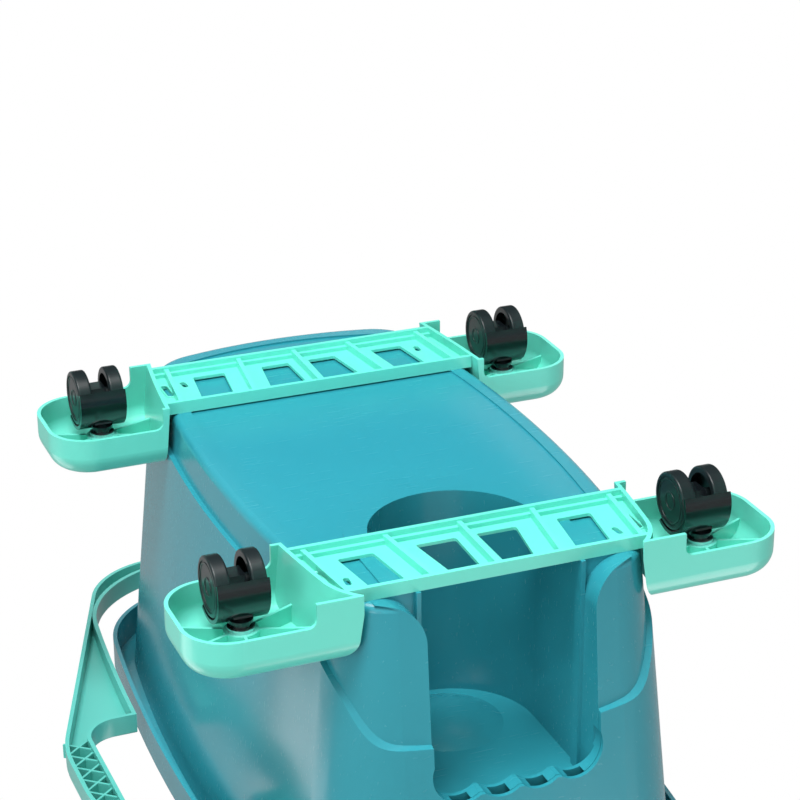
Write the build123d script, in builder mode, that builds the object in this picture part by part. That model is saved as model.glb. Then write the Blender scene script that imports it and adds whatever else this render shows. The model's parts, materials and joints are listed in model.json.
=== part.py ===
"""Wheeled bucket of a spin mop set, upright on its castors, front (grip niche) towards -Y."""

import os
from math import atan2, cos, degrees, radians, sin

from build123d import *

# ---- Overall sizes, mm. Floor is z = 0. ----
BOTTOM_Z = 21.0
RIM_Z = 240.0
BASE_HALF_WIDTH = 107.0
BASE_HALF_LENGTH = 203.0
DRAFT = 0.09
CORNER_R = 36.0
SIDE_BOW = 18.0
END_BOW = 14.0
WALL = 2.6
FLOOR_T = 4.0
LEDGE_STEP = 3.0
LEDGE_Z = 46.0
LEDGE_FRONT_Z = 106.0
RIM_OVERHANG = 12.5
SKIRT_DROP = 23.0
RIM_T = 2.6
PANEL_BORDER = 11.0
PANEL_DEPTH = 1.2

# ---- Grip niche in the front end ----
NICHE_HALF_WIDTH = 51.0
NICHE_BACK_R = 51.0
NICHE_BACK_Y = -120.0
NICHE_LIP_Z = 138.0
NICHE_ROOF_Z = 156.0
NICHE_LIP_T = 15.0
NICHE_FLARE = 24.0
NICHE_FLARE_DEPTH = 20.0
DOME_R = 34.0
DOME_DROP = 8.0
SCALLOPS = 4
SCALLOP_R = 17.0
SCALLOP_RISE = 3.5

# ---- Castor carriers ----
FLANGE_Z = 13.0
WEB_Z = 19.0
CARRIER_FRONT_Y = -153.0
CARRIER_REAR_Y = 131.0
BEAM_HALF = 31.0
FLANGE_T = 3.0
BEAM_STEP_W = 3.0
BEAM_STEP_DROP = 3.4
RIB_T = 3.0
RIB_INNER = (95.5, 46.0)
RIB_OUTER = (88.5, 38.5)
RIB_DROP = 1.2
WINDOW_IN_V = -18.0
WINDOW_OUT_V = 18.5
WINDOW_INNER = ((6.4, 31.2), (56.8, 78.4))
WINDOW_OUTER = ((7.0, 25.8), (52.0, 73.5))
CLIP_SLOT = (3.8, 18.8)
CLIP_SLOT_U = 96.0
CLIP_SLOT_V = 2.0
WELL_REACH = 180.0
WELL_HALF = 39.0
WELL_TOP_Z = 53.0
WELL_RIM_Z = 27.0
WELL_STEP_U = 111.0
WELL_START_U = 84.0
WELL_R = 27.0
WELL_ROUND = 13.0
WELL_WALL = 2.4
BODY_GAP = 1.2

# ---- Castors ----
STEM_U = 141.5
STEM_R = 5.35
SLEEVE_FIT = 0.07
SLEEVE_R = 7.8
SLEEVE_LOW_Z = 39.0
SLEEVE_TOP_Z = 49.0
WHEEL_R = 17.5
WHEEL_W = 9.0
WHEEL_FACE_T = 1.5
CASTOR_W = 30.0
TRAIL = 11.5
AXLE_R = 2.0
AXLE_FIT = 0.06
HOOD_GAP = 0.9
HOOD_T = 2.3
HOOD_TOP_Z = 35.4
HOOD_FRONT = radians(206)
HOOD_BACK = radians(58)
BRIDGE_GAP = 0.6
STEM_PIN_R = 3.5
STEM_PIN_Z = 26.0

# ---- Handle ----
PIVOT_Z = 214.0
PIN_R = 4.0
PIN_FIT = 0.08
HANDLE_OUT_X = 203.0
HANDLE_GRIP_IN_X = 183.0
HANDLE_IN_X = 149.0
HANDLE_END_Y = 276.0
HANDLE_IN_Y = 261.0
HAND_GAP_HALF = 58.0
HANDLE_WEB_T = 2.6
HANDLE_DEPTH = 14.0
HANDLE_WALL = 2.6
EYE_R = 12.0
HANDLE_ELBOW_X = 118.0
HANDLE_GRIP_HALF = 34.0
HANDLE_RISE = 1.0
RIB_PITCH = 15.0

# ---- Wringer ----
WRINGER_Y = -108.0
COVER_T = 2.5
COVER_HOLE_R = 96.0
COVER_EDGE_Y = -4.0
COLLAR_DROP = 20.0
BASKET_TOP_R = 90.0
BASKET_LOW_R = 62.0
BASKET_LOW_Z = 174.0
BASKET_TOP_Z = 238.0
BASKET_WALL = 2.2
BASKET_SLOTS = 28
RING_R = 94.0
RING_H = 7.0
RING_CAP = 2.0
POST_R = 5.0
BUSH_R = 8.0
BUSH_TOP_Z = 189.0
HUB_R = 15.0
HUB_TOP_Z = 206.0
MOP_SOCKET_R = 6.0
MOP_SOCKET_DEPTH = 14.0
WRINGER_FIT = 0.06

# The folded grip reaches further out than the carriers, so everything is shifted to centre the box.
CENTRE_X = (WELL_REACH - HANDLE_OUT_X) / 2

STATIONS = {
    "front_left": (-1, CARRIER_FRONT_Y),
    "front_right": (1, CARRIER_FRONT_Y),
    "rear_left": (-1, CARRIER_REAR_Y),
    "rear_right": (1, CARRIER_REAR_Y),
}


def body_half(z, inset=0.0):
    """Half width, half length and corner radius of the body's outside at height z."""
    grow = DRAFT * (z - BOTTOM_Z) + LEDGE_STEP - inset
    return BASE_HALF_WIDTH + grow, BASE_HALF_LENGTH + grow, CORNER_R + grow


def oval(half_width, half_length, corner_r):
    """Bowed rectangle with rounded corners."""
    cx = half_width - SIDE_BOW
    cy = half_length - END_BOW
    with BuildSketch() as shape:
        with BuildLine():
            ThreePointArc((-cx, -cy), (0, -half_length), (cx, -cy))
            ThreePointArc((cx, -cy), (half_width, 0), (cx, cy))
            ThreePointArc((cx, cy), (0, half_length), (-cx, cy))
            ThreePointArc((-cx, cy), (-half_width, 0), (-cx, -cy))
        make_face()
        fillet(shape.vertices(), corner_r)
    return shape.sketch


def hull(z0, z1, inset):
    """Solid body of the bucket between two heights, inset from the outside."""
    with BuildPart() as solid:
        for z in (z0, z1):
            with BuildSketch(Plane.XY.offset(z)):
                add(oval(*body_half(z, inset)))
        loft()
    return solid.part


def above_ledge():
    """Upper body, cut along the ledge line that climbs round the front end."""
    front = -BASE_HALF_LENGTH - 60
    with BuildPart() as solid:
        add(hull(BOTTOM_Z, RIM_Z, 0.0))
        with BuildSketch(Plane.YZ):
            with BuildLine():
                Polyline((front, LEDGE_FRONT_Z), (front, 0), (300, 0), (300, LEDGE_Z), (-118, LEDGE_Z))
                Spline(
                    (-118, LEDGE_Z),
                    (-150, LEDGE_Z + 9),
                    (-185, LEDGE_Z + 32),
                    (-200, LEDGE_FRONT_Z - 6),
                    (-212, LEDGE_FRONT_Z),
                    tangents=[(-1, 0), (-1, 0.1)],
                )
                Line((-212, LEDGE_FRONT_Z), (front, LEDGE_FRONT_Z))
            make_face()
        extrude(amount=200, both=True, mode=Mode.SUBTRACT)
    return solid.part


def niche_room(grow):
    """Space of the grip niche; grow adds the wall round it."""
    half = NICHE_HALF_WIDTH + grow
    front = -BASE_HALF_LENGTH - 40
    lip_y = -body_half(NICHE_ROOF_Z)[1] + NICHE_LIP_T - grow
    low = BOTTOM_Z - 1
    with BuildPart() as room:
        with BuildSketch(Plane.XY.offset(low)):
            with BuildLine():
                Line((-half, lip_y), (half, lip_y))
                Line((half, lip_y), (half, NICHE_BACK_Y))
                ThreePointArc((half, NICHE_BACK_Y), (0, NICHE_BACK_Y + NICHE_BACK_R + grow), (-half, NICHE_BACK_Y))
                Line((-half, NICHE_BACK_Y), (-half, lip_y))
            make_face()
        extrude(amount=NICHE_ROOF_Z + grow - low)
        flare_back = lip_y + NICHE_FLARE_DEPTH + 2 * grow
        with BuildSketch(Plane.XZ.offset(-flare_back)):
            foot = NICHE_FLARE + BOTTOM_Z
            with BuildLine():
                Line((-half, foot), (-half, NICHE_LIP_Z + grow))
                Line((-half, NICHE_LIP_Z + grow), (half, NICHE_LIP_Z + grow))
                Line((half, NICHE_LIP_Z + grow), (half, foot))
                RadiusArc((half, foot), (half + NICHE_FLARE, BOTTOM_Z), -NICHE_FLARE)
                Polyline(
                    (half + NICHE_FLARE, BOTTOM_Z),
                    (half + NICHE_FLARE, low),
                    (-half - NICHE_FLARE, low),
                    (-half - NICHE_FLARE, BOTTOM_Z),
                )
                RadiusArc((-half - NICHE_FLARE, BOTTOM_Z), (-half, foot), -NICHE_FLARE)
            opening = make_face()
            tops = opening.vertices().group_by(Axis.Y)[-1]
            fillet(tops, 13.0)
        extrude(amount=flare_back - front)
    return room.part


def bucket_tank():
    """One moulding: tub, rim with skirt, grip niche and pivot bosses."""
    walls = niche_room(WALL)
    room = niche_room(0.0)
    envelope = hull(BOTTOM_Z, RIM_Z, LEDGE_STEP)
    rim_half = body_half(RIM_Z)
    with BuildPart() as tank:
        add(hull(BOTTOM_Z, RIM_Z - 1, LEDGE_STEP))
        fillet(tank.edges().group_by(Axis.Z)[0], 5.0)
        add(above_ledge())
        with BuildSketch(Plane.XY.offset(RIM_Z - RIM_T)):
            add(oval(*[v + RIM_OVERHANG for v in rim_half]))
        extrude(amount=RIM_T)
        fillet(tank.edges().group_by(Axis.Z)[-1], 1.8)
        with BuildSketch(Plane.XY.offset(RIM_Z - SKIRT_DROP)):
            add(oval(*[v + RIM_OVERHANG for v in rim_half]))
            add(oval(*[v + RIM_OVERHANG - RIM_T for v in rim_half]), mode=Mode.SUBTRACT)
        extrude(amount=SKIRT_DROP - RIM_T)
        for side in (-1, 1):
            end = body_half(PIVOT_Z)[1] - WALL
            with BuildSketch(Plane.XZ.offset(-side * end)):
                with Locations((0, PIVOT_Z)):
                    Circle(9.0)
            extrude(amount=-side * (HANDLE_IN_Y - 4.0 - end))
        add(hull(BOTTOM_Z + FLOOR_T, RIM_Z + 1, LEDGE_STEP + WALL), mode=Mode.SUBTRACT)
        add(hull(LEDGE_FRONT_Z + 3, RIM_Z + 1, WALL), mode=Mode.SUBTRACT)
        add(walls & envelope)
        add(room, mode=Mode.SUBTRACT)
        dome_sphere = (DOME_R**2 + DOME_DROP**2) / (2 * DOME_DROP)
        with BuildSketch(Plane.XZ.offset(-WRINGER_Y)):
            with BuildLine():
                Line((0, NICHE_ROOF_Z + 1), (0, NICHE_ROOF_Z - DOME_DROP))
                RadiusArc((0, NICHE_ROOF_Z - DOME_DROP), (DOME_R, NICHE_ROOF_Z), -dome_sphere)
                Line((DOME_R, NICHE_ROOF_Z), (DOME_R, NICHE_ROOF_Z + 1))
                Line((DOME_R, NICHE_ROOF_Z + 1), (0, NICHE_ROOF_Z + 1))
            make_face()
        revolve(axis=Axis((0, WRINGER_Y, 0), (0, 0, 1)))
        pitch = 2 * (NICHE_HALF_WIDTH - 4) / SCALLOPS
        lip_front = body_half(NICHE_ROOF_Z)[1] + 2
        with BuildSketch(Plane.XZ.offset(lip_front - NICHE_LIP_T - 4)):
            with GridLocations(pitch, 1, SCALLOPS, 1):
                with Locations((0, NICHE_LIP_Z + SCALLOP_RISE - SCALLOP_R)):
                    Circle(SCALLOP_R)
        extrude(amount=NICHE_LIP_T + 4, mode=Mode.SUBTRACT)
        for side in (-1, 1):
            with BuildSketch(Plane.XY.offset(BOTTOM_Z)):
                with Locations((side * (NICHE_HALF_WIDTH - 1.2), NICHE_BACK_Y - 62)):
                    Rectangle(2.6, 8.0)
            extrude(amount=NICHE_ROOF_Z - BOTTOM_Z)
        with BuildSketch(Plane.XY.offset(BOTTOM_Z)):
            half_width, half_length, corner = body_half(BOTTOM_Z, LEDGE_STEP + PANEL_BORDER)
            add(oval(half_width, half_length, corner))
            with Locations((0, NICHE_BACK_Y - 54)):
                Rectangle(2 * (NICHE_HALF_WIDTH + 14), 134, mode=Mode.SUBTRACT)
            with Locations((0, NICHE_BACK_Y)):
                Circle(NICHE_BACK_R + 14, mode=Mode.SUBTRACT)
        extrude(amount=PANEL_DEPTH, mode=Mode.SUBTRACT)
        for side in (-1, 1):
            with BuildSketch(Plane.XZ.offset(-side * (HANDLE_IN_Y - 20))):
                with Locations((0, PIVOT_Z)):
                    Circle(PIN_R)
            extrude(amount=-side * 17.0, mode=Mode.SUBTRACT)
        with BuildSketch(Plane.XY.offset(NICHE_ROOF_Z + WALL)):
            with Locations((0, WRINGER_Y)):
                Circle(22.0)
                Circle(POST_R + 1.0, mode=Mode.SUBTRACT)
        extrude(amount=3.0)
    return tank


def carrier_plane(centre_y, outer):
    """Plane whose +y is the carrier's outer side."""
    return Plane(origin=(0, centre_y, 0), x_dir=(outer, 0, 0), z_dir=(0, 0, 1))


def well_solid(frame, inset, z0, z1):
    """The two end cups as solids, inset from their outside."""
    half = WELL_HALF - inset
    reach = WELL_REACH - inset
    with BuildPart() as cup:
        with BuildSketch(frame.offset(z0)):
            Rectangle(2 * reach, 2 * half)
            fillet(vertices(), WELL_R - inset)
            Rectangle(2 * (WELL_START_U + inset), 2 * half + 1, mode=Mode.SUBTRACT)
        extrude(amount=z1 - z0)
        tops = cup.faces().sort_by(Axis.Z)[-2:].edges()
        shift = frame.origin.Y
        outer_tops = [
            e for e in tops if abs(e.center().X) > WELL_START_U + 12 or abs(e.center().Y - shift) > half - 3
        ]
        fillet(outer_tops, WELL_ROUND - inset)
    return cup.part


def carrier(centre_y, outer):
    """Castor carrier: ribbed beam across the bottom with a cup at each end."""
    frame = carrier_plane(centre_y, outer)
    body = hull(0.0, 90.0, -BODY_GAP)
    body_and_wall = hull(0.0, 90.0, -BODY_GAP - WELL_WALL)
    cups = well_solid(frame, 0.0, FLANGE_Z, WELL_TOP_Z)
    rooms = well_solid(frame, WELL_WALL, FLANGE_Z - 1, WELL_TOP_Z - WELL_WALL) - body_and_wall
    length = RIB_INNER[0] + 10
    with BuildPart() as beam:
        add(cups)
        # Outboard of the step the cup's rim stands higher than the beam's flanges.
        with BuildSketch(Plane.XZ):
            for side in (-1, 1):
                with Locations((side * (WELL_STEP_U + 50), WELL_RIM_Z - 20)):
                    Rectangle(100, 40)
            fillet(vertices(), 5.0)
        extrude(amount=400, both=True, mode=Mode.SUBTRACT)
        add(body, mode=Mode.SUBTRACT)
        with BuildSketch(frame.offset(FLANGE_Z)):
            Rectangle(2 * length, 2 * BEAM_HALF)
            Rectangle(2 * length, 2 * (BEAM_HALF - FLANGE_T), mode=Mode.SUBTRACT)
        extrude(amount=BOTTOM_Z - FLANGE_Z)
        with BuildSketch(frame.offset(FLANGE_Z + BEAM_STEP_DROP)):
            Rectangle(2 * length, 2 * (BEAM_HALF - FLANGE_T))
            Rectangle(2 * length, 2 * (BEAM_HALF - FLANGE_T - BEAM_STEP_W), mode=Mode.SUBTRACT)
        extrude(amount=BOTTOM_Z - FLANGE_Z - BEAM_STEP_DROP)
        with BuildSketch(frame.offset(WEB_Z)):
            Rectangle(2 * length, 2 * BEAM_HALF)
        extrude(amount=BOTTOM_Z - WEB_Z)
        add(rooms, mode=Mode.SUBTRACT)
        with BuildSketch(frame.offset(FLANGE_Z + RIB_DROP)):
            for half_in, half_out in ((0.0, 0.0), *zip(RIB_INNER[::-1], RIB_OUTER[::-1])):
                for side in {1, -1} if half_in else {1}:
                    lean = degrees(atan2(side * (half_in - half_out), 2 * BEAM_HALF))
                    with Locations(Location((side * (half_in + half_out) / 2, 0, 0), (0, 0, lean))):
                        Rectangle(RIB_T, 2 * BEAM_HALF - FLANGE_T)
        extrude(amount=BOTTOM_Z - FLANGE_Z - RIB_DROP)
        with BuildSketch(frame.offset(FLANGE_Z - 1)):
            for (i0, i1), (o0, o1) in zip(WINDOW_INNER, WINDOW_OUTER):
                for side in (-1, 1):
                    with BuildLine():
                        Polyline(
                            (side * i0, WINDOW_IN_V),
                            (side * i1, WINDOW_IN_V),
                            (side * o1, WINDOW_OUT_V),
                            (side * o0, WINDOW_OUT_V),
                            close=True,
                        )
                    make_face()
            fillet(vertices(), 1.5)
            for side in (-1, 1):
                with Locations(Location((side * 82.5, 9.0, 0), (0, 0, 90 - side * 6))):
                    SlotOverall(9.0, 3.6)
                with Locations((side * CLIP_SLOT_U, CLIP_SLOT_V)):
                    Rectangle(*CLIP_SLOT)
        extrude(amount=20.0, mode=Mode.SUBTRACT)
        # Socket bosses and ribs inside the cups.
        with BuildSketch(frame.offset(SLEEVE_LOW_Z + 1.5)):
            for side in (-1, 1):
                with Locations((side * STEM_U, 0)):
                    Circle(SLEEVE_R + 2.2)
                for angle in (20, 95, 160, 205, 265, 335):
                    reach = 46.0 if angle in (95, 265) else 44.0
                    with Locations(Location((side * STEM_U, 0, 0), (0, 0, angle))):
                        with Locations((reach / 2, 0)):
                            Rectangle(reach, 1.8)
        extrude(amount=WELL_TOP_Z - WELL_WALL - SLEEVE_LOW_Z - 1.0)
        with BuildSketch(frame.offset(SLEEVE_LOW_Z - 2)):
            with Locations((-STEM_U, 0), (STEM_U, 0)):
                Circle(SLEEVE_R)
        extrude(amount=SLEEVE_TOP_Z - SLEEVE_LOW_Z + 2, mode=Mode.SUBTRACT)
        add((cups - body) + hull(0.0, BOTTOM_Z, -BODY_GAP), mode=Mode.INTERSECT)
    return beam


def castor_spot(name):
    """Swivel axis of a castor: x, y."""
    side, centre_y = STATIONS[name]
    return side * STEM_U, centre_y


def castor_sleeve(name):
    """Metal sleeve pressed into the socket boss."""
    with BuildPart() as sleeve:
        with BuildSketch(Plane.XY.offset(SLEEVE_LOW_Z - 0.8)):
            with Locations(castor_spot(name)):
                Circle(SLEEVE_R)
                Circle(STEM_R + SLEEVE_FIT, mode=Mode.SUBTRACT)
        extrude(amount=SLEEVE_TOP_Z - SLEEVE_LOW_Z + 0.8)
    return sleeve


def castor_plane(name):
    """Side plane through the wheels' centre: x runs along +Y, y runs up."""
    x, y = castor_spot(name)
    return Plane(origin=(x, y + TRAIL, WHEEL_R), x_dir=(0, 1, 0), z_dir=(1, 0, 0))


def castor_stem(name):
    """Swivel neck that turns in the sleeve, with the pin that holds it in the hood."""
    with BuildPart() as stem:
        with BuildSketch(Plane.XY.offset(STEM_PIN_Z)):
            with Locations(castor_spot(name)):
                Circle(STEM_PIN_R)
        extrude(amount=HOOD_TOP_Z - STEM_PIN_Z)
        with BuildSketch(Plane.XY.offset(HOOD_TOP_Z)):
            with Locations(castor_spot(name)):
                Circle(STEM_R)
        extrude(amount=SLEEVE_TOP_Z - 1.0 - HOOD_TOP_Z)
        chamfer(stem.edges().group_by(Axis.Z)[-1], 0.8)
    return stem


def castor_hood(name):
    """Hood over both wheels, with the middle bridge that carries the axle."""
    side = castor_plane(name)
    inner = WHEEL_R + HOOD_GAP
    outer = inner + HOOD_T
    far = 3 * outer
    bridge = CASTOR_W / 2 - WHEEL_W - BRIDGE_GAP
    with BuildPart() as hood:
        with BuildSketch(side):
            Circle(outer)
            Circle(inner, mode=Mode.SUBTRACT)
            with BuildLine():
                Polyline(
                    (0, 0),
                    (far * cos(HOOD_BACK), far * sin(HOOD_BACK)),
                    (far, -far),
                    (-far, -far),
                    (far * cos(HOOD_FRONT), far * sin(HOOD_FRONT)),
                    close=True,
                )
            make_face(mode=Mode.SUBTRACT)
        extrude(amount=CASTOR_W / 2, both=True)
        with BuildSketch(side):
            with BuildLine():
                Polyline(
                    (-TRAIL - 5.0, inner - 4.2),
                    (-TRAIL, 1.0),
                    (-6.0, -6.5),
                    (6.0, -6.5),
                    (6.0, 5.0),
                    (3.0, inner + 0.5),
                    (-5.0, inner + 0.5),
                    close=True,
                )
            make_face()
        extrude(amount=bridge, both=True)
        with BuildSketch(Plane.XY.offset(HOOD_TOP_Z - 1.8)):
            with Locations(castor_spot(name)):
                Circle(STEM_R + 1.6)
        extrude(amount=1.8)
        with BuildSketch(Plane.XY.offset(STEM_PIN_Z)):
            with Locations(castor_spot(name)):
                Circle(STEM_PIN_R)
        extrude(amount=HOOD_TOP_Z - STEM_PIN_Z, mode=Mode.SUBTRACT)
        with BuildSketch(Plane.XY.offset(HOOD_TOP_Z)):
            with Locations(castor_spot(name)):
                Circle(STEM_R)
        extrude(amount=6.0, mode=Mode.SUBTRACT)
        with BuildSketch(side):
            Circle(AXLE_R)
        extrude(amount=bridge, both=True, mode=Mode.SUBTRACT)
    return hood


def castor_axle(name):
    """Steel axle pressed through the bridge."""
    with BuildPart() as axle:
        with BuildSketch(castor_plane(name)):
            Circle(AXLE_R)
        extrude(amount=CASTOR_W / 2 - WHEEL_FACE_T - 0.4, both=True)
    return axle


def castor_wheel(name, side):
    """One of the twin wheels, with a blind bore from its inner face."""
    plane = castor_plane(name).offset(side * (CASTOR_W / 2 - WHEEL_W))
    with BuildPart() as wheel:
        with BuildSketch(plane):
            Circle(WHEEL_R)
        extrude(amount=side * WHEEL_W)
        fillet(wheel.edges(), 1.3)
        with BuildSketch(plane.offset(side * WHEEL_W)):
            Circle(WHEEL_R - 2.6)
        extrude(amount=-side * 0.6, mode=Mode.SUBTRACT)
        with BuildSketch(plane):
            Circle(WHEEL_R - 4.0)
            Circle(4.2, mode=Mode.SUBTRACT)
        extrude(amount=side * (WHEEL_W - WHEEL_FACE_T - 2.0), mode=Mode.SUBTRACT)
        with BuildSketch(plane):
            Circle(AXLE_R + AXLE_FIT)
        extrude(amount=side * (WHEEL_W - WHEEL_FACE_T), mode=Mode.SUBTRACT)
    return wheel


def hand_gap(grow):
    """Clear space between the grip and the rim."""
    with BuildSketch() as gap:
        with Locations((HANDLE_GRIP_IN_X - 50, 0)):
            Rectangle(100 + 2 * grow, 2 * (HAND_GAP_HALF + grow))
        fillet(gap.vertices(), 20.0 + grow)
    return gap.sketch


def handle_outline(inset):
    """The folded handle seen from above, inset from its outside."""
    with BuildSketch() as outline:
        with BuildLine():
            Polyline(
                (0, -HANDLE_END_Y + 4),
                (HANDLE_ELBOW_X, -HANDLE_END_Y + 10),
                (HANDLE_OUT_X, -HANDLE_GRIP_HALF),
                (HANDLE_OUT_X, HANDLE_GRIP_HALF),
                (HANDLE_ELBOW_X, HANDLE_END_Y - 10),
                (0, HANDLE_END_Y - 4),
                close=True,
            )
        make_face()
        fillet([v for v in outline.vertices() if abs(v.X - HANDLE_ELBOW_X) < 1], 60.0)
        fillet([v for v in outline.vertices() if v.X > HANDLE_OUT_X - 1], 95.0)
        offset(amount=-inset)
        add(oval(HANDLE_IN_X + inset, HANDLE_IN_Y + inset, 80.0 + inset), mode=Mode.SUBTRACT)
        add(hand_gap(inset), mode=Mode.SUBTRACT)
    return outline.sketch


def handle():
    """Carrying handle folded down beside the rim: a web with a wall round its edge and cross ribs."""
    low = PIVOT_Z - HANDLE_DEPTH / 2 + HANDLE_RISE
    with BuildPart() as bail:
        with BuildSketch(Plane.XY.offset(low)):
            add(handle_outline(0.0))
        extrude(amount=HANDLE_DEPTH)
        fillet(bail.edges().group_by(Axis.Z)[-1], 1.2)
        with BuildSketch(Plane.XY.offset(low)):
            add(handle_outline(HANDLE_WALL))
        extrude(amount=HANDLE_DEPTH - HANDLE_WEB_T, mode=Mode.SUBTRACT)
        with BuildSketch(Plane.XY.offset(low + 3.0)):
            width = HANDLE_OUT_X - HANDLE_GRIP_IN_X - 2
            for step in range(-3, 3):
                for lean in (-1, 1):
                    at = ((HANDLE_OUT_X + HANDLE_GRIP_IN_X) / 2 - 1, (step + 0.5) * RIB_PITCH)
                    angle = degrees(atan2(lean * RIB_PITCH, width))
                    with Locations(Location((*at, 0), (0, 0, angle))):
                        Rectangle((width**2 + RIB_PITCH**2) ** 0.5 - 1.5, 1.5)
        extrude(amount=HANDLE_DEPTH - 3.0 - HANDLE_WEB_T / 2)
        for side in (-1, 1):
            with BuildSketch(Plane.XZ.offset(-side * (HANDLE_IN_Y - 3.0))):
                with Locations((0, PIVOT_Z)):
                    Circle(EYE_R)
            extrude(amount=-side * (HANDLE_END_Y - HANDLE_IN_Y - 1.0))
            with BuildSketch(Plane.XZ.offset(-side * (HANDLE_IN_Y - 10.0))):
                with Locations((0, PIVOT_Z)):
                    Circle(PIN_R + PIN_FIT)
            extrude(amount=-side * 40.0, mode=Mode.SUBTRACT)
    return bail


def handle_pin(side):
    """Headed pivot pin pressed into the boss on one end of the bucket."""
    seat = HANDLE_IN_Y - 20.0
    face = HANDLE_END_Y - 4.0 + 0.5
    with BuildPart() as pin:
        with BuildSketch(Plane.XZ.offset(-side * seat)):
            with Locations((0, PIVOT_Z)):
                Circle(PIN_R)
        extrude(amount=-side * (face - seat))
        with BuildSketch(Plane.XZ.offset(-side * face)):
            with Locations((0, PIVOT_Z)):
                Circle(PIN_R + 3.5)
        extrude(amount=-side * 2.4)
        fillet(pin.faces().sort_by(Axis.Y)[-1 if side > 0 else 0].edges(), 1.0)
    return pin


def wringer_post():
    """Steel post that stands on the roof of the grip niche."""
    roof = NICHE_ROOF_Z + WALL
    with BuildPart() as post:
        with BuildSketch(Plane.XY.offset(roof)):
            with Locations((0, WRINGER_Y)):
                Circle(POST_R + 1.0)
        extrude(amount=3.0)
        with BuildSketch(Plane.XY.offset(roof + 3.0)):
            with Locations((0, WRINGER_Y)):
                Circle(16.0)
        extrude(amount=2.6)
        with BuildSketch(Plane.XY.offset(roof + 5.6)):
            with Locations((0, WRINGER_Y)):
                Circle(POST_R)
        extrude(amount=BUSH_TOP_Z - 1.0 - roof - 5.6)
        chamfer(post.edges().group_by(Axis.Z)[-1], 0.8)
    return post


def wringer_bush():
    """Bearing bush that slips over the post and carries the basket."""
    low = NICHE_ROOF_Z + WALL + 5.6 + 0.4
    with BuildPart() as bush:
        with BuildSketch(Plane.XY.offset(low)):
            with Locations((0, WRINGER_Y)):
                Circle(BUSH_R + 3.5)
        extrude(amount=2.0)
        with BuildSketch(Plane.XY.offset(low + 2.0)):
            with Locations((0, WRINGER_Y)):
                Circle(BUSH_R)
        extrude(amount=BUSH_TOP_Z - low - 2.0)
        with BuildSketch(Plane.XY.offset(low)):
            with Locations((0, WRINGER_Y)):
                Circle(POST_R + WRINGER_FIT)
        extrude(amount=BUSH_TOP_Z - low, mode=Mode.SUBTRACT)
    return bush


def wringer_hub():
    """Hub of the basket: it turns on the bush, and its top socket seats the mop head."""
    low = NICHE_ROOF_Z + WALL + 8.4
    with BuildPart() as hub:
        with BuildSketch(Plane.XY.offset(low)):
            with Locations((0, WRINGER_Y)):
                Circle(HUB_R)
        extrude(amount=HUB_TOP_Z - low)
        chamfer(hub.edges().group_by(Axis.Z)[-1], 2.0)
        with BuildSketch(Plane.XY.offset(low)):
            with Locations((0, WRINGER_Y)):
                Circle(BUSH_R + WRINGER_FIT)
        extrude(amount=BUSH_TOP_Z + 0.4 - low, mode=Mode.SUBTRACT)
        with BuildSketch(Plane.XY.offset(HUB_TOP_Z - MOP_SOCKET_DEPTH)):
            with Locations((0, WRINGER_Y)):
                Circle(MOP_SOCKET_R)
        extrude(amount=MOP_SOCKET_DEPTH, mode=Mode.SUBTRACT)
    return hub


def wringer_basket():
    """Perforated spin basket, open at the top."""
    slope = (BASKET_TOP_R - BASKET_LOW_R) / (BASKET_TOP_Z - BASKET_LOW_Z)
    floor = BASKET_LOW_Z + BASKET_WALL
    with BuildPart() as basket:
        with BuildSketch(Plane.XZ.offset(-WRINGER_Y)):
            with BuildLine():
                Polyline(
                    (HUB_R, BASKET_LOW_Z),
                    (BASKET_LOW_R, BASKET_LOW_Z),
                    (BASKET_TOP_R, BASKET_TOP_Z),
                    (BASKET_TOP_R - BASKET_WALL, BASKET_TOP_Z),
                    (BASKET_LOW_R + slope * BASKET_WALL - BASKET_WALL, floor),
                    (HUB_R, floor),
                    close=True,
                )
            make_face()
        revolve(axis=Axis((0, WRINGER_Y, 0), (0, 0, 1)))
        low = BASKET_LOW_Z + 9.0
        with BuildSketch(Plane.XZ.offset(-WRINGER_Y)):
            with Locations((0, (low + BASKET_TOP_Z - 16.0) / 2)):
                SlotOverall(BASKET_TOP_Z - 16.0 - low, 4.0, rotation=90)
        hole = extrude(amount=120.0, mode=Mode.PRIVATE)
        for k in range(BASKET_SLOTS):
            turn = Axis((0, WRINGER_Y, 0), (0, 0, 1))
            add(hole.rotate(turn, 360.0 * k / BASKET_SLOTS), mode=Mode.SUBTRACT)
        with BuildSketch(Plane.XY.offset(BASKET_LOW_Z - 1)):
            for radius, count in ((27.0, 10), (38.0, 14), (49.0, 18)):
                with Locations((0, WRINGER_Y)):
                    with PolarLocations(radius, count):
                        Circle(2.4)
        extrude(amount=BASKET_WALL + 2, mode=Mode.SUBTRACT)
    return basket


def wringer_ring():
    """Stiffening ring pressed over the basket's mouth."""
    low = BASKET_TOP_Z - RING_H + RING_CAP
    slope = (BASKET_TOP_R - BASKET_LOW_R) / (BASKET_TOP_Z - BASKET_LOW_Z)
    with BuildPart() as ring:
        with BuildSketch(Plane.XZ.offset(-WRINGER_Y)):
            with BuildLine():
                Polyline(
                    (BASKET_TOP_R - slope * (BASKET_TOP_Z - low), low),
                    (RING_R, low),
                    (RING_R, BASKET_TOP_Z + RING_CAP),
                    (BASKET_TOP_R - BASKET_WALL, BASKET_TOP_Z + RING_CAP),
                    (BASKET_TOP_R - BASKET_WALL, BASKET_TOP_Z),
                    (BASKET_TOP_R, BASKET_TOP_Z),
                    close=True,
                )
            make_face()
        revolve(axis=Axis((0, WRINGER_Y, 0), (0, 0, 1)))
        fillet(ring.edges().group_by(Axis.Z)[-1], 0.8)
    return ring


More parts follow.
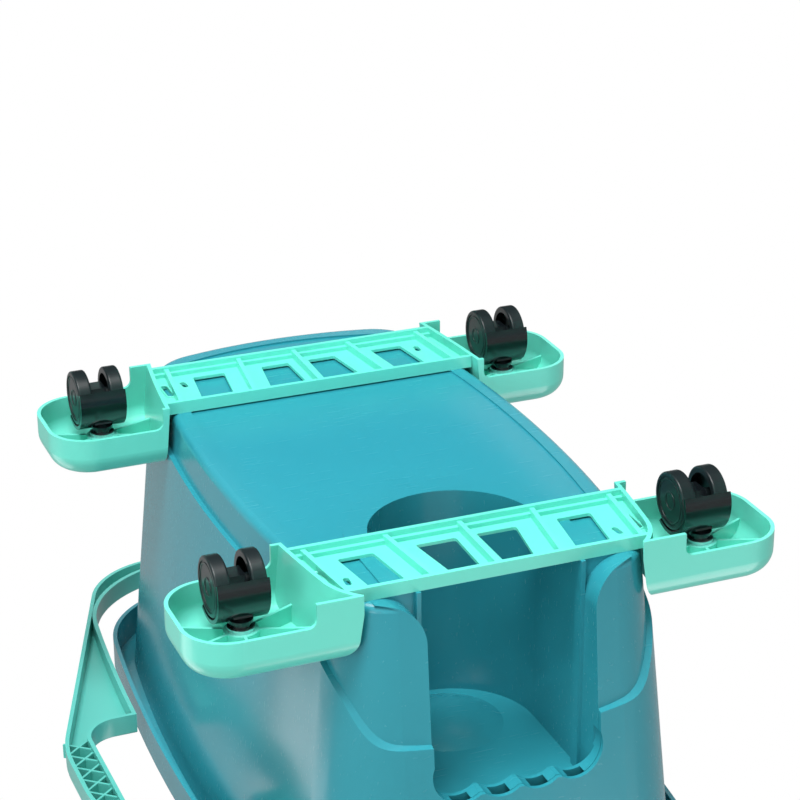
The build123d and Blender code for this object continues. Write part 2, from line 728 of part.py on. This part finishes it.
def wringer_cover():
    """Splash cover that lies on the rim over the front half, with a collar round the basket."""
    half_width, half_length, corner = [v + RIM_OVERHANG - 3.0 for v in body_half(RIM_Z)]
    with BuildPart() as cover:
        with BuildSketch(Plane.XY.offset(RIM_Z)):
            add(oval(half_width, half_length, corner))
            with Locations((0, COVER_EDGE_Y + 250)):
                Rectangle(500, 500, mode=Mode.SUBTRACT)
        extrude(amount=COVER_T)
        fillet(cover.edges().group_by(Axis.Z)[-1], 1.2)
        with BuildSketch(Plane.XY.offset(RIM_Z - COLLAR_DROP)):
            with Locations((0, WRINGER_Y)):
                Circle(COVER_HOLE_R + 2.2)
        extrude(amount=COLLAR_DROP + COVER_T)
        with BuildSketch(Plane.XY.offset(RIM_Z - COLLAR_DROP - 1)):
            with Locations((0, WRINGER_Y)):
                Circle(COVER_HOLE_R)
        extrude(amount=COLLAR_DROP + COVER_T + 2, mode=Mode.SUBTRACT)
        with BuildSketch(Plane.XY.offset(RIM_Z - 6.0)):
            add(oval(*body_half(RIM_Z - 6.0, WALL + 0.3)))
            add(oval(*body_half(RIM_Z - 6.0, WALL + 2.5)), mode=Mode.SUBTRACT)
            with Locations((0, COVER_EDGE_Y + 250)):
                Rectangle(500, 500, mode=Mode.SUBTRACT)
        extrude(amount=6.0)
    return cover


def write(block, label):
    """Label a finished piece, centre it and write its file."""
    piece = block.part.moved(Location((CENTRE_X, 0, 0)))
    piece.label = label
    export_step(piece, f"parts/{label}.step")


def main():
    os.makedirs("parts", exist_ok=True)
    write(bucket_tank(), "bucket_tank")
    write(carrier(CARRIER_FRONT_Y, -1), "carrier_front")
    write(carrier(CARRIER_REAR_Y, 1), "carrier_rear")
    for name in STATIONS:
        write(castor_sleeve(name), f"castor_{name}_sleeve")
        write(castor_stem(name), f"castor_{name}_stem")
        write(castor_hood(name), f"castor_{name}_hood")
        write(castor_axle(name), f"castor_{name}_axle")
        write(castor_wheel(name, -1), f"castor_{name}_wheel_a")
        write(castor_wheel(name, 1), f"castor_{name}_wheel_b")
    write(handle(), "handle")
    write(handle_pin(-1), "handle_pin_front")
    write(handle_pin(1), "handle_pin_rear")
    write(wringer_post(), "wringer_post")
    write(wringer_bush(), "wringer_bush")
    write(wringer_hub(), "wringer_hub")
    write(wringer_basket(), "wringer_basket")
    write(wringer_ring(), "wringer_ring")
    write(wringer_cover(), "wringer_cover")


main()
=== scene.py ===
"""Spin mop bucket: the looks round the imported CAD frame, with a studio floor, lights and a camera."""

from __future__ import annotations

import json
import logging
from dataclasses import dataclass, field
from enum import Enum

import bpy
import numpy as np
from mathutils import Matrix, Vector

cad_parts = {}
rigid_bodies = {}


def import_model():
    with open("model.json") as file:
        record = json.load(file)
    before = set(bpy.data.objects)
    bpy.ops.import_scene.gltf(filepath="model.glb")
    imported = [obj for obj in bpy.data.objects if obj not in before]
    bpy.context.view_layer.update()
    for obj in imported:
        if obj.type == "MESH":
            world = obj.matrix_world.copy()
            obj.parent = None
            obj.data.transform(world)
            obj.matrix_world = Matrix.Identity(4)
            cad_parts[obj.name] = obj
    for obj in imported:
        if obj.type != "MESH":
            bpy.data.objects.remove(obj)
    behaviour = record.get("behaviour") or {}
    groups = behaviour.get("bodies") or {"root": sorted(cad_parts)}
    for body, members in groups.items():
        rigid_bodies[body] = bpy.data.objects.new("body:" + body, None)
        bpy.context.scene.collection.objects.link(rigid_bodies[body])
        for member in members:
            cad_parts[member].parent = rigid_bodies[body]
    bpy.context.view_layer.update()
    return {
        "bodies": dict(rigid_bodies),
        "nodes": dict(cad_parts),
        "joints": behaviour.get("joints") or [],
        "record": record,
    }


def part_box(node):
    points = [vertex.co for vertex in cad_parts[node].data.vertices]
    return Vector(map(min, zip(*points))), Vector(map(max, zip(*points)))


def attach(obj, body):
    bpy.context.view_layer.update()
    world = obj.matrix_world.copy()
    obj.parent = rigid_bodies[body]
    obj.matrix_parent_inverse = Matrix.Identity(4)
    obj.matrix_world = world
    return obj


LOG = logging.getLogger("spin_mop_bucket")
MM = 0.001
CENTRE_X = -11.5 * MM
TAU = 2.0 * np.pi
AMBIENT = 0.42
FLOOR_HALF = 4.0
AIM = (0.0, 0.0, 0.08)
CLIP_RANGE = (0.05, 20.0)
PLASTIC_IOR = 1.49
COAT_ROUGHNESS = 0.12
SCATTER_RADIUS = (0.004, 0.008, 0.008)
SCATTER_SCALE = 0.6
FLOW_STOPS = (0.35, 0.75)
RUBBED_RANGE = (0.3, 0.75)
RUBBED_GAIN = (0.92, 1.12)
SCRATCH_STRETCH = (40.0, 900.0, 220.0)
SCRATCH_TURN = (0.3, 0.2, 0.5)
SCRATCH_RANGE = (0.62, 0.72)
GRAIN_DETAIL = 2.0
GRAIN_STRENGTH = 0.25
WAVE_STRENGTH = 0.12
WAVE_HEIGHT = 0.0002
LINE_STRETCH = 60.0
LINE_STRENGTH = 0.2
LINE_HEIGHT = 0.00002
LINE_GAIN = (0.7, 1.5)
UNIT_RANGE = (0.0, 1.0)

Colour = tuple[float, float, float]


class Slot(str, Enum):
    """The record's material slots."""

    TANK = "tank_plastic"
    CARRIER = "carrier_plastic"
    HANDLE = "handle_plastic"
    CASTOR = "castor_plastic"
    WHEEL = "castor_wheel_plastic"
    STEEL = "plated_steel"
    BUSH = "bush_plastic"
    WRINGER = "wringer_plastic"


class Station(str, Enum):
    """The four castor places."""

    FRONT_LEFT = "front_left"
    FRONT_RIGHT = "front_right"
    REAR_LEFT = "rear_left"
    REAR_RIGHT = "rear_right"


@dataclass(frozen=True)
class Noise:
    """One noise pattern: patches to the metre, octaves and each finer octave's strength."""

    scale: float
    detail: float
    roughness: float = 0.5


FLOW_MARKS = Noise(9.0, 5.0, 0.6)
RUBBED_PATCHES = Noise(34.0, 8.0, 0.65)
SCRATCHES = Noise(1.0, 3.0)
WALL_WAVES = Noise(14.0, 1.0)
TURNING_LINES = Noise(1.0, 3.0)


@dataclass(frozen=True)
class PlasticFinish:
    """Look of one moulded plastic.

    Colours are linear RGB. mottle is how much of the shade colour the moulding's
    flow marks mix into the base, grain and grain_depth are the fineness and height
    of its surface, and wear is how much rougher the hairline scratches are.
    """

    base: Colour
    shade: Colour
    roughness: float
    coat: float = 0.25
    mottle: float = 0.35
    grain: float = 900.0
    grain_depth: float = 0.000008
    wear: float = 0.05
    subsurface: float = 0.06


@dataclass(frozen=True)
class MetalFinish:
    """Look of plated steel with fine turning lines."""

    base: Colour
    roughness: float
    lines: float = 1400.0


@dataclass(frozen=True)
class Lamp:
    """One square studio light: its place, side in metres and power in watts."""

    name: str
    place: tuple[float, float, float]
    side: float
    watts: float


LAMPS = (
    Lamp("key_low", (0.5, -0.5, -2.3), 1.1, 88.0),
    Lamp("fill_low", (1.9, -1.5, -0.5), 1.4, 22.0),
    Lamp("top_key", (-1.4, -1.5, 2.0), 1.5, 26.0),
    Lamp("top_fill", (1.6, 1.0, 1.8), 1.6, 16.0),
)


@dataclass(frozen=True)
class FloorFinish:
    """Pale matt floor."""

    colour: Colour = (0.86, 0.87, 0.87)
    roughness: float = 0.7


FINISHES: dict[Slot, PlasticFinish | MetalFinish] = {
    Slot.TANK: PlasticFinish((0.026, 0.265, 0.325), (0.018, 0.225, 0.285), 0.24),
    Slot.CARRIER: PlasticFinish(
        (0.150, 0.680, 0.560), (0.125, 0.610, 0.500), 0.30, subsurface=0.08
    ),
    Slot.HANDLE: PlasticFinish(
        (0.085, 0.440, 0.385), (0.070, 0.390, 0.340), 0.34, subsurface=0.06
    ),
    Slot.CASTOR: PlasticFinish(
        (0.006, 0.009, 0.011), (0.003, 0.005, 0.006), 0.22, subsurface=0.0, mottle=0.5
    ),
    Slot.WHEEL: PlasticFinish(
        (0.010, 0.018, 0.020), (0.006, 0.010, 0.011), 0.34, subsurface=0.0, mottle=0.5
    ),
    Slot.STEEL: MetalFinish((0.62, 0.64, 0.66), 0.28),
    Slot.BUSH: PlasticFinish((0.68, 0.69, 0.66), (0.55, 0.56, 0.54), 0.5),
    Slot.WRINGER: PlasticFinish((0.76, 0.81, 0.81), (0.62, 0.69, 0.70), 0.3, subsurface=0.1),
}


class NodeGraph:
    """Short way to lay out a material's nodes."""

    def __init__(self, name: str) -> None:
        """Starts an empty material of that name."""
        self.material = bpy.data.materials.new(name)
        self.material.use_nodes = True
        self.tree = self.material.node_tree
        self.tree.nodes.clear()

    def node(self, kind: str, **values: object) -> bpy.types.Node:
        """Adds a node.

        Args:
            kind: Blender's node type, without the ShaderNode prefix.
            **values: properties, or socket values where the name has a leading "in_".

        Returns:
            The new node.
        """
        made = self.tree.nodes.new("ShaderNode" + kind)
        for key, value in values.items():
            if key.startswith("in_"):
                made.inputs[key[3:].replace("_", " ")].default_value = value
            else:
                setattr(made, key, value)
        return made

    def link(self, source: bpy.types.NodeSocket, target: bpy.types.NodeSocket) -> None:
        """Joins two sockets.

        Args:
            source: the output that gives the value.
            target: the input that takes it.
        """
        self.tree.links.new(source, target)

    def noise(self, vector: bpy.types.NodeSocket, spec: Noise) -> bpy.types.NodeSocket:
        """Adds a noise pattern.

        Args:
            vector: where on the surface it is read.
            spec: the pattern.

        Returns:
            The pattern's value.
        """
        pattern = self.node(
            "TexNoise", in_Scale=spec.scale, in_Detail=spec.detail, in_Roughness=spec.roughness
        )
        self.link(vector, pattern.inputs["Vector"])
        return pattern.outputs["Fac"]

    def stretched(
        self,
        vector: bpy.types.NodeSocket,
        scale: tuple[float, float, float],
        turn: tuple[float, float, float] = (0.0, 0.0, 0.0),
    ) -> bpy.types.NodeSocket:
        """Stretches and turns a place vector.

        Args:
            vector: the vector to change.
            scale: stretch along each axis.
            turn: turn about each axis, in radians.

        Returns:
            The changed vector.
        """
        mapping = self.node("Mapping")
        mapping.inputs["Scale"].default_value = scale
        mapping.inputs["Rotation"].default_value = turn
        self.link(vector, mapping.inputs["Vector"])
        return mapping.outputs["Vector"]

    def remap(
        self,
        value: bpy.types.NodeSocket,
        source: tuple[float, float],
        target: tuple[float, float],
    ) -> bpy.types.NodeSocket:
        """Maps one range of a value onto another.

        Args:
            value: the value to map.
            source: the range it is read over.
            target: the range it is given.

        Returns:
            The mapped value.
        """
        ranged = self.node("MapRange")
        ranged.inputs["From Min"].default_value, ranged.inputs["From Max"].default_value = source
        ranged.inputs["To Min"].default_value, ranged.inputs["To Max"].default_value = target
        self.link(value, ranged.inputs["Value"])
        return ranged.outputs["Result"]

    def finish(self, shader: bpy.types.NodeSocket) -> bpy.types.Material:
        """Joins a shader to the surface.

        Args:
            shader: the shader's output.

        Returns:
            The finished material.
        """
        out = self.node("OutputMaterial")
        self.link(shader, out.inputs["Surface"])
        return self.material


class PlasticMaterial:
    """Moulded plastic with flow marks, fine grain, hairline scratches and rubbed patches."""

    def __init__(self, name: str, finish: PlasticFinish) -> None:
        """Starts the material of that name and finish."""
        self.graph = NodeGraph(name)
        self.finish = finish

    def build(self) -> bpy.types.Material:
        """Lays out the nodes.

        Returns:
            The finished material.
        """
        g, f = self.graph, self.finish
        place = g.node("TexCoord").outputs["Object"]
        shader = g.node("BsdfPrincipled")
        shader.inputs["IOR"].default_value = PLASTIC_IOR
        shader.inputs["Coat Weight"].default_value = f.coat
        shader.inputs["Coat Roughness"].default_value = COAT_ROUGHNESS
        shader.inputs["Subsurface Weight"].default_value = f.subsurface
        shader.inputs["Subsurface Radius"].default_value = SCATTER_RADIUS
        shader.inputs["Subsurface Scale"].default_value = SCATTER_SCALE
        g.link(self._colour(place), shader.inputs["Base Color"])
        g.link(self._roughness(place), shader.inputs["Roughness"])
        g.link(self._normal(place), shader.inputs["Normal"])
        return g.finish(shader.outputs["BSDF"])

    def _colour(self, place: bpy.types.NodeSocket) -> bpy.types.NodeSocket:
        """Base colour with the moulding's flow marks.

        Args:
            place: the Object coordinates.

        Returns:
            The colour.
        """
        g, f = self.graph, self.finish
        ramp = g.node("ValToRGB")
        colours = (f.shade, f.base)
        for stop, position, colour in zip(ramp.color_ramp.elements, FLOW_STOPS, colours):
            stop.position = position
            stop.color = (*colour, 1.0)
        g.link(g.noise(place, FLOW_MARKS), ramp.inputs["Fac"])
        mix = g.node("MixRGB", in_Fac=f.mottle)
        mix.inputs["Color1"].default_value = (*f.base, 1.0)
        g.link(ramp.outputs["Color"], mix.inputs["Color2"])
        return mix.outputs["Color"]

    def _roughness(self, place: bpy.types.NodeSocket) -> bpy.types.NodeSocket:
        """Rubbed patches with hairline scratches added.

        Args:
            place: the Object coordinates.

        Returns:
            The roughness.
        """
        g, f = self.graph, self.finish
        least, most = (f.roughness * gain for gain in RUBBED_GAIN)
        rubbed = g.remap(g.noise(place, RUBBED_PATCHES), RUBBED_RANGE, (least, most))
        along = g.stretched(place, SCRATCH_STRETCH, SCRATCH_TURN)
        scratches = g.remap(g.noise(along, SCRATCHES), SCRATCH_RANGE, (0.0, f.wear))
        total = g.node("Math", operation="ADD")
        g.link(rubbed, total.inputs[0])
        g.link(scratches, total.inputs[1])
        return total.outputs["Value"]

    def _normal(self, place: bpy.types.NodeSocket) -> bpy.types.NodeSocket:
        """Fine grain on top of the slow waves of a moulded wall.

        Args:
            place: the Object coordinates.

        Returns:
            The normal.
        """
        g, f = self.graph, self.finish
        grain = g.node("Bump", in_Strength=GRAIN_STRENGTH, in_Distance=f.grain_depth)
        g.link(g.noise(place, Noise(f.grain, GRAIN_DETAIL)), grain.inputs["Height"])
        waves = g.node("Bump", in_Strength=WAVE_STRENGTH, in_Distance=WAVE_HEIGHT)
        g.link(g.noise(place, WALL_WAVES), waves.inputs["Height"])
        g.link(grain.outputs["Normal"], waves.inputs["Normal"])
        return waves.outputs["Normal"]


class MetalMaterial:
    """Plated steel with fine turning lines."""

    def __init__(self, name: str, finish: MetalFinish) -> None:
        """Starts the material of that name and finish."""
        self.graph = NodeGraph(name)
        self.finish = finish

    def build(self) -> bpy.types.Material:
        """Lays out the nodes.

        Returns:
            The finished material.
        """
        g, f = self.graph, self.finish
        place = g.node("TexCoord").outputs["Object"]
        across = g.stretched(place, (LINE_STRETCH, LINE_STRETCH, f.lines))
        lines = g.noise(across, TURNING_LINES)
        bump = g.node("Bump", in_Strength=LINE_STRENGTH, in_Distance=LINE_HEIGHT)
        g.link(lines, bump.inputs["Height"])
        shader = g.node("BsdfPrincipled")
        shader.inputs["Base Color"].default_value = (*f.base, 1.0)
        shader.inputs["Metallic"].default_value = 1.0
        least, most = (f.roughness * gain for gain in LINE_GAIN)
        g.link(g.remap(lines, UNIT_RANGE, (least, most)), shader.inputs["Roughness"])
        g.link(bump.outputs["Normal"], shader.inputs["Normal"])
        return g.finish(shader.outputs["BSDF"])


class Palette:
    """One material for each slot of the record."""

    def __init__(self) -> None:
        """Starts with no materials."""
        self.materials: dict[Slot, bpy.types.Material] = {}

    def build(self) -> None:
        """Makes every material."""
        for slot, finish in FINISHES.items():
            maker = MetalMaterial if isinstance(finish, MetalFinish) else PlasticMaterial
            self.materials[slot] = maker(slot.value, finish).build()

    def dress(self, frame: dict) -> None:
        """Gives each CAD node its slot's material.
        """
        for entry in frame["record"]["subparts"]:
            mesh = frame["nodes"][entry["node"]].data
            mesh.materials.clear()
            mesh.materials.append(self.materials[Slot(entry["material_slot"])])


@dataclass
class Piece:
    """A mesh piece that rides on one CAD body."""

    name: str
    body: str
    slot: Slot

    def make(self, palette: Palette, vertices: np.ndarray, faces: np.ndarray) -> None:
        """Makes the object and hangs it on its body.

        Args:
            palette: the materials.
            vertices: N by 3 points in metres.
            faces: M by 4 vertex numbers.
        """
        mesh = bpy.data.meshes.new(self.name)
        mesh.from_pydata(vertices.tolist(), [], faces.tolist())
        mesh.validate()
        mesh.polygons.foreach_set("use_smooth", np.full(len(mesh.polygons), True))
        mesh.materials.append(palette.materials[self.slot])
        piece = bpy.data.objects.new(self.name, mesh)
        bpy.context.scene.collection.objects.link(piece)
        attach(piece, self.body)


def ring_faces(around: int, across: int) -> np.ndarray:
    """Quads of a closed bead, whose points are laid out section by section.

    Args:
        around: number of sections round the ring.
        across: number of points in each section.

    Returns:
        M by 4 vertex numbers.
    """
    r = np.arange(around)[:, None]
    c = np.arange(across)[None, :]
    r_next = (r + 1) % around
    c_next = (c + 1) % across
    corners = ((r, c), (r, c_next), (r_next, c_next), (r_next, c))
    return np.stack([row * across + column for row, column in corners], axis=-1).reshape(-1, 4)


def round_bead(
    centre: np.ndarray, radius: float, section: float, around: int = 96, across: int = 16
) -> tuple[np.ndarray, np.ndarray]:
    """A round bead bent into a ring about X.

    The point at angles a (round the ring) and b (round the bead) is
    centre + (radius + section cos b)(cos a, sin a) in the YZ plane, and
    section sin b along X.

    Args:
        centre: the ring's centre.
        radius: radius of the bead's centre line.
        section: the bead's own radius.
        around: points round the ring.
        across: points round the bead.

    Returns:
        The vertices and the faces.
    """
    a = np.linspace(0.0, TAU, around, endpoint=False)[:, None]
    b = np.linspace(0.0, TAU, across, endpoint=False)[None, :]
    reach = radius + section * np.cos(b)
    x = section * np.sin(b) + 0.0 * a
    y = reach * np.cos(a)
    z = reach * np.sin(a)
    points = np.stack((x, y, z), axis=-1).reshape(-1, 3) + centre
    return points, ring_faces(around, across)


def stadium_bead(
    centre: np.ndarray,
    half_run: float,
    radius: float,
    section: float,
    around: int = 64,
    across: int = 10,
) -> tuple[np.ndarray, np.ndarray]:
    """A round bead carried round a long slot that runs along Y.

    The path is a circle of the slot's end radius, at angle a, pulled apart by
    half_run towards +Y where sin a is positive and towards -Y where it is not.
    At angle b round the bead, the point stands off the path by section cos b
    and rises by section sin b.

    Args:
        centre: the slot's centre.
        half_run: half the length of the slot's straight sides.
        radius: radius of the bead's centre line at the slot's round ends.
        section: the bead's own radius.
        around: points round the slot.
        across: points round the bead.

    Returns:
        The vertices and the faces.
    """
    a = (np.arange(around)[:, None] + 0.5) * TAU / around
    b = np.linspace(0.0, TAU, across, endpoint=False)[None, :]
    reach = radius + section * np.cos(b)
    x = reach * np.cos(a)
    y = reach * np.sin(a) + half_run * np.sign(np.sin(a))
    z = section * np.sin(b) + 0.0 * a
    points = np.stack((x, y, z), axis=-1).reshape(-1, 3) + centre
    return points, ring_faces(around, across)


@dataclass
class Carrier:
    """Trim of one castor carrier: raised rims round the clip slots at the beam's ends."""

    node: str
    outer: float
    slot_x: float = 96.0 * MM
    slot_shift: float = 2.0 * MM
    slot_width: float = 3.8 * MM
    slot_length: float = 18.8 * MM
    rim_section: float = 0.8 * MM
    web_z: float = 19.0 * MM

    def build(self, palette: Palette) -> None:
        """Adds a rim round each clip slot.

        Args:
            palette: the materials.
        """
        low, high = (np.array(v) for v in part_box(self.node))
        middle = (low[1] + high[1]) / 2.0
        radius = self.slot_width / 2.0 + self.rim_section
        half_run = self.slot_length / 2.0 - self.slot_width / 2.0
        slot_y = middle + self.outer * self.slot_shift
        for label, sign in (("left", -1.0), ("right", 1.0)):
            centre = np.array([CENTRE_X + sign * self.slot_x, slot_y, self.web_z])
            points, faces = stadium_bead(centre, half_run, radius, self.rim_section)
            Piece(f"{self.node}_clip_rim_{label}", "bucket", Slot.CARRIER).make(palette, points, faces)


@dataclass
class Castor:
    """Trim of one twin-wheel castor: raised rings on the wheels' outer faces."""

    station: Station
    ring_section: float = 0.45 * MM
    face_recess: float = 0.6 * MM
    rim_share: float = 0.76
    hub_share: float = 0.30
    names: list[str] = field(default_factory=list)

    def build(self, palette: Palette) -> None:
        """Adds the beads on both wheels.

        Args:
            palette: the materials.
        """
        for letter, sign in (("a", -1.0), ("b", 1.0)):
            wheel = f"castor_{self.station.value}_wheel_{letter}"
            low, high = (np.array(v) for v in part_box(wheel))
            centre = (low + high) / 2.0
            radius = (high[2] - low[2]) / 2.0
            centre[0] = (high[0] if sign > 0 else low[0]) - sign * self.face_recess
            for label, share in (("rim_ring", self.rim_share), ("hub_ring", self.hub_share)):
                points, faces = round_bead(centre, radius * share, self.ring_section)
                Piece(f"{wheel}_{label}", wheel, Slot.WHEEL).make(palette, points, faces)
                self.names.append(f"{wheel}_{label}")


@dataclass(frozen=True)
class Shot:
    """Camera of the main view, below the floor and looking up at the underside.

    The place is in metres, the angles in degrees, the lens and sensor in millimetres.
    """

    place: tuple[float, float, float] = (0.4776, -1.2602, -0.5891)
    azimuth: float = -21.76
    elevation: float = 23.13
    roll: float = -0.34
    lens: float = 108.0
    sensor: float = 36.0

    def basis(self) -> Matrix:
        """Works out the camera's turn.

        Returns:
            A matrix whose columns are the camera's right, up and back.
        """
        azimuth, elevation, roll = np.radians([self.azimuth, self.elevation, self.roll])
        back = np.array(
            [
                np.sin(azimuth) * np.cos(elevation),
                -np.cos(azimuth) * np.cos(elevation),
                np.sin(elevation),
            ]
        )
        level = np.array([np.cos(azimuth), np.sin(azimuth), 0.0])
        upright = np.cross(back, level)
        right = np.cos(roll) * level + np.sin(roll) * upright
        up = np.cos(roll) * upright - np.sin(roll) * level
        # The angles are those of a bucket turned over, so X and Z change sign.
        turned = np.stack([right, up, back], axis=1) * np.array([-1.0, 1.0, -1.0])[:, None]
        return Matrix(turned.tolist())


class Studio:
    """Floor, lights, world and camera."""

    def __init__(self, shot: Shot, floor: FloorFinish) -> None:
        """Keeps the camera's and the floor's settings."""
        self.shot = shot
        self.floor = floor

    def build(self) -> None:
        """Makes everything that isn't part of the object."""
        self._world()
        self._floor()
        self._lights()
        self._camera()

    def _world(self) -> None:
        """White behind the object, and a softer ambient light on it."""
        world = bpy.data.worlds.new("studio_world")
        world.use_nodes = True
        background = world.node_tree.nodes["Background"]
        background.inputs["Color"].default_value = (1.0, 1.0, 1.0, 1.0)
        tree = world.node_tree
        path = tree.nodes.new("ShaderNodeLightPath")
        strength = tree.nodes.new("ShaderNodeMapRange")
        strength.inputs["To Min"].default_value = AMBIENT
        strength.inputs["To Max"].default_value = 1.0
        tree.links.new(path.outputs["Is Camera Ray"], strength.inputs["Value"])
        tree.links.new(strength.outputs["Result"], background.inputs["Strength"])
        bpy.context.scene.world = world
        bpy.context.scene.view_settings.view_transform = "Standard"
        bpy.context.scene.view_settings.look = "None"

    def _floor(self) -> None:
        """Floor that is seen from above only, and lets the low lights through."""
        half = FLOOR_HALF
        mesh = bpy.data.meshes.new("studio_floor")
        corners = [(-half, -half, 0.0), (half, -half, 0.0), (half, half, 0.0), (-half, half, 0.0)]
        mesh.from_pydata(corners, [], [(0, 1, 2, 3)])
        floor = bpy.data.objects.new("studio_floor", mesh)
        bpy.context.scene.collection.objects.link(floor)
        g = NodeGraph("studio_floor")
        side = g.node("NewGeometry")
        path = g.node("LightPath")
        clear = g.node("Math", operation="MAXIMUM")
        g.link(side.outputs["Backfacing"], clear.inputs[0])
        g.link(path.outputs["Is Shadow Ray"], clear.inputs[1])
        matt = g.node("BsdfDiffuse")
        matt.inputs["Color"].default_value = (*self.floor.colour, 1.0)
        matt.inputs["Roughness"].default_value = self.floor.roughness
        through = g.node("BsdfTransparent")
        mix = g.node("MixShader")
        g.link(clear.outputs["Value"], mix.inputs["Fac"])
        g.link(matt.outputs["BSDF"], mix.inputs[1])
        g.link(through.outputs["BSDF"], mix.inputs[2])
        mesh.materials.append(g.finish(mix.outputs["Shader"]))

    def _lights(self) -> None:
        """Square lights that all point at the object."""
        target = Vector(AIM)
        for spec in LAMPS:
            light = bpy.data.lights.new(spec.name, "AREA")
            light.size = spec.side
            light.energy = spec.watts
            lamp = bpy.data.objects.new(spec.name, light)
            lamp.location = spec.place
            lamp.rotation_mode = "QUATERNION"
            lamp.rotation_quaternion = (target - Vector(spec.place)).to_track_quat("-Z", "Y")
            bpy.context.scene.collection.objects.link(lamp)

    def _camera(self) -> None:
        """Camera of the main view."""
        data = bpy.data.cameras.new("main_camera")
        data.lens = self.shot.lens
        data.sensor_width = self.shot.sensor
        data.clip_start, data.clip_end = CLIP_RANGE
        camera = bpy.data.objects.new("main_camera", data)
        camera.matrix_world = Matrix.Translation(self.shot.place) @ self.shot.basis().to_4x4()
        bpy.context.scene.collection.objects.link(camera)
        bpy.context.scene.camera = camera


class MopBucket:
    """The whole object: the CAD frame's finishes and the added trim."""

    def __init__(self, frame: dict) -> None:
        """Keeps the frame and plans the trim."""
        self.frame = frame
        self.palette = Palette()
        self.carriers = [Carrier("carrier_front", -1.0), Carrier("carrier_rear", 1.0)]
        self.castors = [Castor(station) for station in Station]

    def build(self) -> None:
        """Dresses the frame and adds the trim."""
        self.palette.build()
        self.palette.dress(self.frame)
        for carrier in self.carriers:
            carrier.build(self.palette)
            LOG.info("%s: clip rims", carrier.node)
        for castor in self.castors:
            castor.build(self.palette)
            LOG.info("castor %s: %d wheel rings", castor.station.value, len(castor.names))


def main() -> None:
    """Builds the scene."""
    logging.basicConfig(level=logging.INFO)
    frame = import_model()
    MopBucket(frame).build()
    Studio(Shot(), FloorFinish()).build()


if __name__ == "__main__":
    main()
